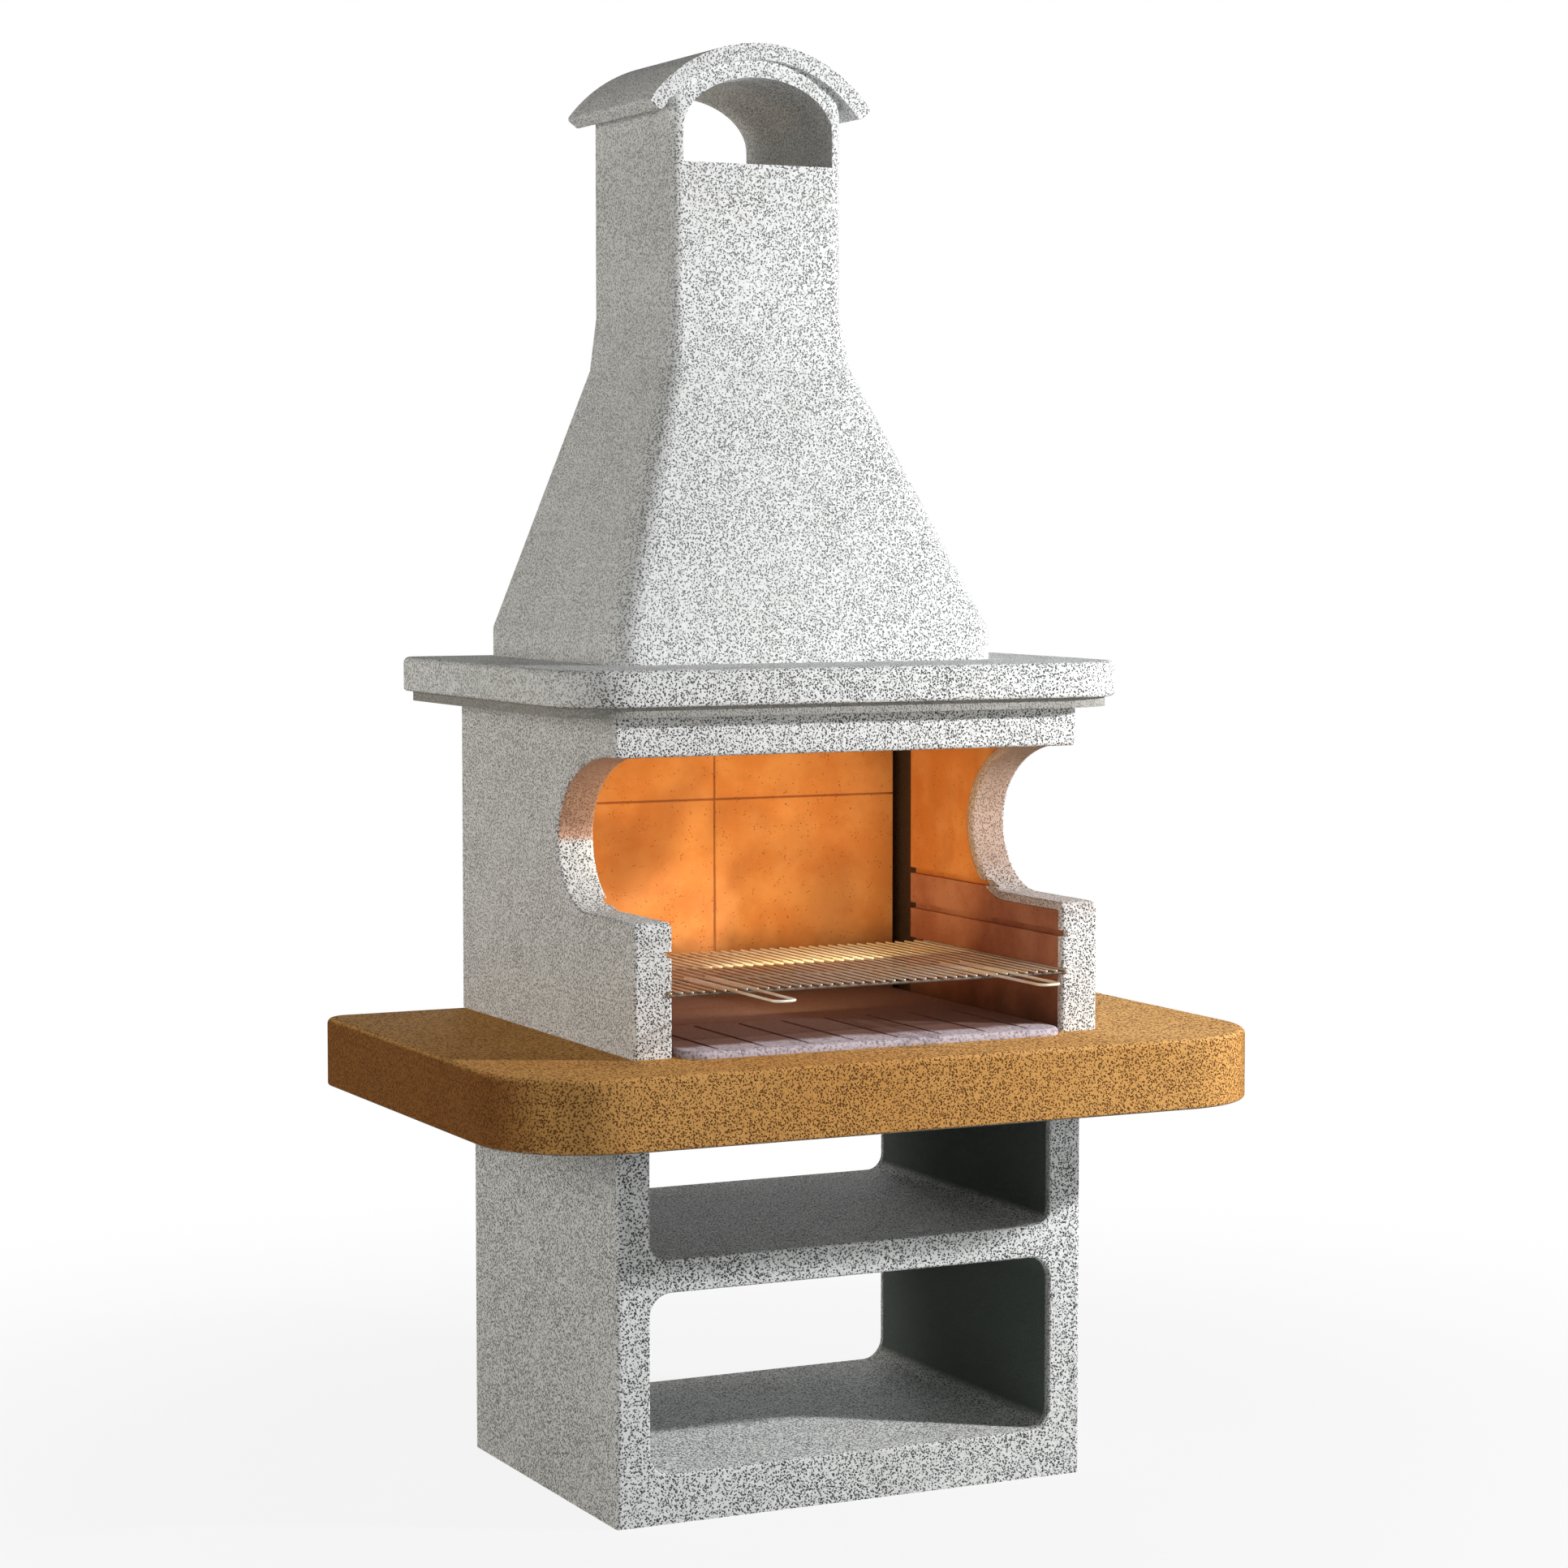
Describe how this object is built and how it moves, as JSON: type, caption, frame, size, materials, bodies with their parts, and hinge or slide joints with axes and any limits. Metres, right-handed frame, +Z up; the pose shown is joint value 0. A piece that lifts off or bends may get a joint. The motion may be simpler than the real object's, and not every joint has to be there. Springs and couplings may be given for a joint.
{
  "type": "outdoor masonry barbecue",
  "caption": "Free-standing masonry barbecue: open wood store, shelf, rounded worktop, scooped fire chamber with sliding grill, tapered hood and stack with arched cap.",
  "frame": {"origin": "on the ground, at the middle of the width and of the depth over all", "axes": "+Z up, +X to the right as one faces the fire, +Y from the front to the back"},
  "size_m": [1.532, 1.082, 2.703],
  "materials": {
    "plaster": "matt, rough stippled",
    "ochre_cement": "matt, rough stippled",
    "hearth_cement": "matt",
    "refractory": "matt",
    "chromed_wire": "bright"
  },
  "bodies": {
    "masonry": {"base_ring": "plaster", "base_cradle": "plaster", "worktop": "ochre_cement", "hearth_slab": "hearth_cement", "cheek_right": "plaster", "cheek_left": "plaster", "back_wall": "plaster", "side_lining_lower_right": "refractory", "side_lining_lower_left": "refractory", "side_lining_upper_right": "refractory", "side_lining_upper_left": "refractory", "back_tile_lower_right": "refractory", "back_tile_lower_left": "refractory", "back_tile_upper_right": "refractory", "back_tile_upper_left": "refractory", "front_beam": "plaster", "cornice": "plaster", "hood": "plaster", "chimney_stack": "plaster", "chimney_cap": "plaster"},
    "grill": {"grill_bars": "chromed_wire", "grill_cross_bars": "chromed_wire", "grill_handle_right": "chromed_wire", "grill_handle_left": "chromed_wire"}
  },
  "joints": [
    {"name": "grill_slide", "type": "slide", "parent": "masonry", "child": "grill", "axis": [0, -1, 0], "range_m": [-0.115, 0.35]}
  ]
}
